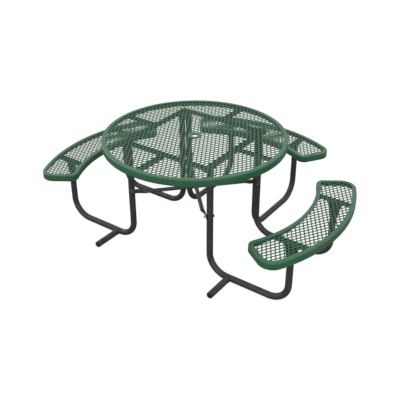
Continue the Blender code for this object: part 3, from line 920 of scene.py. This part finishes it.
# Legs, and the plates under the benches with two bolts in each
leg_pattern = bent_leg()
plate_pattern = bench_plate()
bench_bolt_pattern = plate_bolt()
for side, (degrees, mirrored) in LEGS.items():
    leg = move(copy_of(leg_pattern, f"leg_tube_{side}"), turn_about_table(degrees, mirrored))
    hand_over(leg, leg_black, "leg_paint", f"leg_{side}")
    plate = move(copy_of(plate_pattern, f"bench_plate_{side}"), turn_about_table(degrees, mirrored))
    hand_over(plate, leg_black, "leg_paint", f"seat_plate_{side}")
    plate_low = cad_place(f"seat_plate_{side}")[1].z - PLATE_THICK
    for number, (out, aside) in enumerate(BENCH_BOLTS, 1):
        bolt = copy_of(bench_bolt_pattern, f"bench_bolt_{side}_{number}_zinc")
        move(bolt, Matrix.Translation((LEG_SEAT + out, -LEG_SIDE + aside, plate_low)))
        move(bolt, turn_about_table(degrees, mirrored))
        hand_over(bolt, zinc, "bolt_zinc")
bpy.data.objects.remove(leg_pattern)
bpy.data.objects.remove(plate_pattern)
bpy.data.objects.remove(bench_bolt_pattern)

# The plates under the table, with a bolt up through each at the underframe's corner
for corner in ("front_right", "front_left", "back_right", "back_left"):
    plate = flat_steel(f"table_plate_{corner}", f"leg_plate_{corner}", PLATE_CORNER, PLATE_EASE)
    hand_over(plate, leg_black, "leg_paint", f"leg_plate_{corner}")
table_bolt_pattern = plate_bolt()
for corner, degrees in (("front_right", -45), ("back_right", 45), ("back_left", 135), ("front_left", 225)):
    head_face = cad_place(f"leg_plate_{corner}")[0].z - WELD_GAP
    place = Matrix.Translation((TABLE_BOLT * math.sqrt(2), 0, head_face))
    bolt = copy_of(table_bolt_pattern, f"table_bolt_{corner}_zinc")
    move(bolt, Matrix.Rotation(math.radians(degrees), 4, "Z") @ place)
    hand_over(bolt, zinc, "bolt_zinc", f"table_bolt_{corner}")
bpy.data.objects.remove(table_bolt_pattern)

# Feet
foot_pattern = stub_foot()
plug_pattern = end_plug()
for side, mirror in (("right", Matrix.Identity(4)), ("left", Matrix.Diagonal((-1, 1, 1, 1)))):
    foot = move(copy_of(foot_pattern, f"foot_tube_{side}"), mirror)
    hand_over(foot, leg_black, "leg_paint", f"foot_{side}")
    plug = move(copy_of(plug_pattern, f"foot_end_plug_{side}"), mirror)
    hand_over(plug, plug_black, "plug_plastic", f"foot_plug_{side}")
bpy.data.objects.remove(foot_pattern)
bpy.data.objects.remove(plug_pattern)

# Braces and their bolts. Each brace is bolted to one front leg's side, and between the legs of a back pair.
BRACE_TURN = {"upper": math.radians(-45), "lower": math.radians(-135)}
LEG_ON_SIDE = {"upper": 1, "lower": -1}
leg_face = (LEG_TABLE - LEG_SIDE) / math.sqrt(2) + TUBE_R + WELD_GAP
nut_pattern = hex_nut()
for kind in ("upper", "lower"):
    hand_over(cross_brace(kind, BRACE_TURN[kind]), leg_black, "brace_paint", f"brace_{kind}")
    low, high = cad_place(f"brace_{kind}")
    z = (low.z + high.z) / 2
    lean = LEG_ON_SIDE[kind]
    frame_turn = Matrix.Rotation(BRACE_TURN[kind], 4, "Z")
    for end, x, nut_face in (
        ("front", BRACE_BOLT, BRACE_FLAT_THICK + WELD_GAP), ("back", -BRACE_BOLT, leg_face),
    ):
        bolt = nutted_bolt(f"brace_bolt_{kind}_{end}_zinc", leg_face + nut_face)
        move(bolt, frame_turn @ upright_to((x, lean * leg_face, z), (0, -lean, 0)))
        hand_over(bolt, black_zinc, "bolt_zinc", f"brace_bolt_{kind}_{end}")
        nut = copy_of(nut_pattern, f"brace_nut_{kind}_{end}_zinc")
        move(nut, frame_turn @ upright_to((x, -lean * nut_face, z), (0, -lean, 0)))
        hand_over(nut, zinc, "bolt_zinc", f"brace_nut_{kind}_{end}")

head_face = cad_place("brace_bolt_centre")[1].z - HEAD_HEIGHT - 0.0002
nut_face = cad_place("brace_nut_centre")[1].z
bolt = nutted_bolt("brace_bolt_centre_zinc", head_face - nut_face)
move(bolt, upright_to((0, 0, head_face), (0, 0, -1)))
hand_over(bolt, zinc, "bolt_zinc", "brace_bolt_centre")
nut = copy_of(nut_pattern, "brace_nut_centre_zinc")
move(nut, upright_to((0, 0, nut_face), (0, 0, -1)))
hand_over(nut, zinc, "bolt_zinc", "brace_nut_centre")
bpy.data.objects.remove(nut_pattern)

# ---- floor, light and camera -------------------------------------------------------------------

def studio_floor_finish():
    """Matt white paper under the table, lit to the edge of white, that throws little light back up."""
    seen, thrown = (0.15, 0.15, 0.15, 1), (0.24, 0.24, 0.24, 1)
    material, tree, shader, _ = new_finish(
        "studio_floor_white", Roughness=0.9, Base_Color=seen, Emission_Color=(1, 1, 1, 1),
        Emission_Strength=0.89,
    )
    shade = node(tree, "BsdfDiffuse", {"Color": thrown}, {})
    ray = node(tree, "LightPath", {}, {})
    mixed = node(tree, "MixShader", {}, {"Fac": (ray, "Is Camera Ray")})
    tree.links.new(shade.outputs["BSDF"], mixed.inputs[1])
    tree.links.new(shader.outputs["BSDF"], mixed.inputs[2])
    tree.links.new(mixed.outputs["Shader"], tree.nodes["Material Output"].inputs["Surface"])
    return material


bpy.ops.object.select_all(action="DESELECT")
bpy.ops.mesh.primitive_plane_add(size=60, location=(0, 0, -0.0005))
studio_floor = bpy.context.object
studio_floor.name = "studio_floor"
studio_floor.data.materials.append(studio_floor_finish())

scene = bpy.context.scene
scene.view_settings.view_transform = "Standard"
world = bpy.data.worlds.new("studio")
world.use_nodes = True
sky = world.node_tree.nodes["Background"].inputs
sky["Color"].default_value = (0.97, 1.0, 0.99, 1)
sky["Strength"].default_value = 0.95
scene.world = world


def softbox(name, place, target, size, power):
    """A square area light aimed at a point."""
    light = bpy.data.lights.new(name, "AREA")
    light.shape = "SQUARE"
    light.size = size
    light.energy = power
    lamp = bpy.data.objects.new(name, light)
    lamp.location = place
    aim = Vector(target) - Vector(place)
    lamp.rotation_euler = aim.to_track_quat("-Z", "Y").to_euler()
    scene.collection.objects.link(lamp)


softbox("softbox_above", (-0.8, 0.4, 4.2), (0, -0.1, 0.4), 3.0, 12)
softbox("softbox_front", (3.0, -4.6, 1.6), (0, -0.2, 0.4), 3.0, 50)
softbox("softbox_left", (-4.0, -0.6, 2.2), (0, 0, 0.5), 2.5, 40)

# The camera looks at a point on the table's axis, from an azimuth, a height and a roll.
LOOK_AT = AXIS + Vector((0, 0, 0.45))
DISTANCE = 4.1205
camera_data = bpy.data.cameras.new("camera")
camera_data.sensor_width = 36.0
camera_data.lens = 56.844
camera_data.shift_x = 0.0121
camera_data.shift_y = -0.0540
camera = bpy.data.objects.new("camera", camera_data)
azimuth, height, roll = (math.radians(a) for a in (36.13, 29.025, -0.43))
turn = (
    Matrix.Rotation(azimuth, 4, "Z")
    @ Matrix.Rotation(math.pi / 2 - height, 4, "X")
    @ Matrix.Rotation(roll, 4, "Z")
)
away = Vector((math.sin(azimuth) * math.cos(height), -math.cos(azimuth) * math.cos(height), math.sin(height)))
camera.matrix_world = Matrix.Translation(LOOK_AT + away * DISTANCE) @ turn
scene.collection.objects.link(camera)
scene.camera = camera
